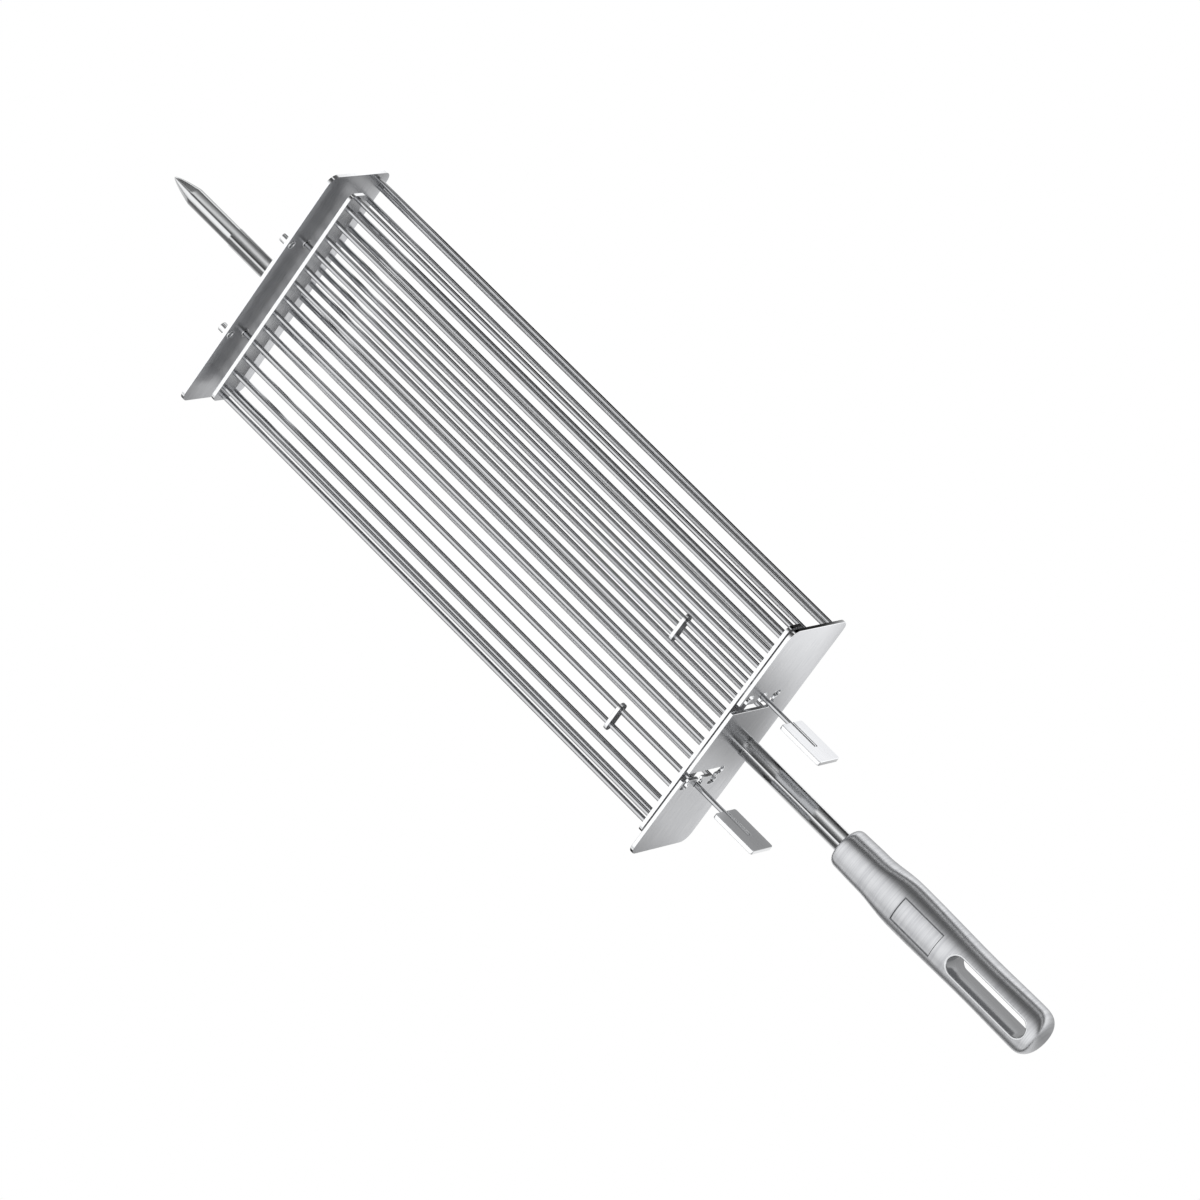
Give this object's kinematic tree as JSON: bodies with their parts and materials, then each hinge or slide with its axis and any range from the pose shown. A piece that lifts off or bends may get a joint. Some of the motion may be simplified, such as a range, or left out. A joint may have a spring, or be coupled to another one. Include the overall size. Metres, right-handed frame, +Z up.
{
  "type": "rotating grill grate",
  "caption": "Flat steel spit basket: rods between two end plates, a spring-locked lid grate, a square spit bar ground to a point, and a hollow handle with a hanging slot.",
  "frame": {"origin": "centre of the bounding box's bottom face, on the surface that the end plates stand on", "axes": "+X along the spit, from its point towards the handle; +Z up, the open side that the lid closes; +Y to the left side of the grate"},
  "size_m": [0.6474, 0.15, 0.056],
  "materials": {
    "sanded_end_plate": "stainless sheet, finely sanded, with polished edges",
    "sanded_lid_plate": "stainless sheet, finely sanded, with polished edges",
    "polished_rod": "drawn stainless round rod, polished",
    "drawn_bar": "drawn stainless square bar, polished along its length",
    "satin_handle": "stainless tube, satin brushed round its girth",
    "slot_liner": "stainless strip, satin, with a polished rim",
    "turned_bush": "turned stainless",
    "polished_tab": "stainless sheet, polished"
  },
  "bodies": {
    "basket": {"far_end_plate": "sanded_end_plate", "near_end_plate": "sanded_end_plate", "side_rod_left": "polished_rod", "side_rod_right": "polished_rod", "floor_rod_1": "polished_rod", "floor_rod_2": "polished_rod", "floor_rod_3": "polished_rod", "floor_rod_4": "polished_rod", "floor_rod_5": "polished_rod", "floor_rod_6": "polished_rod", "floor_rod_7": "polished_rod", "floor_rod_8": "polished_rod", "floor_rod_9": "polished_rod", "floor_rod_10": "polished_rod", "floor_rod_11": "polished_rod", "floor_rod_12": "polished_rod", "floor_rod_13": "polished_rod", "floor_rod_14": "polished_rod", "floor_rod_15": "polished_rod", "tip_bar": "drawn_bar", "handle_bar": "drawn_bar", "handle_shell": "satin_handle", "handle_front_plug": "satin_handle", "handle_collar": "turned_bush", "hanging_slot_liner": "slot_liner", "guide_bush_left_1": "turned_bush", "guide_bush_left_2": "turned_bush", "guide_bush_left_3": "turned_bush", "guide_bush_right_1": "turned_bush", "guide_bush_right_2": "turned_bush", "guide_bush_right_3": "turned_bush"},
    "lid": {"lid_far_plate": "sanded_lid_plate", "lid_near_plate": "sanded_lid_plate", "lid_side_rod_left": "polished_rod", "lid_side_rod_right": "polished_rod", "lid_rod_1": "polished_rod", "lid_rod_2": "polished_rod", "lid_rod_3": "polished_rod", "lid_rod_5": "polished_rod", "lid_rod_6": "polished_rod", "lid_rod_7": "polished_rod", "lid_rod_8": "polished_rod", "lid_rod_9": "polished_rod", "lid_rod_11": "polished_rod", "lid_rod_12": "polished_rod", "lid_rod_13": "polished_rod", "lock_link_left": "sanded_lid_plate", "lock_link_right": "sanded_lid_plate", "lock_rod_fixed_left": "polished_rod", "lock_rod_fixed_right": "polished_rod"},
    "lock_left": {"lock_rod_spring_left": "polished_rod", "lock_tab_left": "polished_tab"},
    "lock_right": {"lock_rod_spring_right": "polished_rod", "lock_tab_right": "polished_tab"}
  },
  "joints": [
    {"name": "lid_end_play", "type": "slide", "parent": "basket", "child": "lid", "axis": [1, 0, 0], "range_m": [-0.006, 0.005]},
    {"name": "squeeze_left", "type": "hinge", "parent": "lid", "child": "lock_left", "pos_m": [0.04995, 0.03, 0.038], "axis": [0, 0, -1], "range_deg": [0, 7.6], "stiffness_Nm_per_rad": 8},
    {"name": "squeeze_right", "type": "hinge", "parent": "lid", "child": "lock_right", "pos_m": [0.04995, -0.03, 0.038], "axis": [0, 0, 1], "range_deg": [0, 7.6], "stiffness_Nm_per_rad": 8}
  ]
}
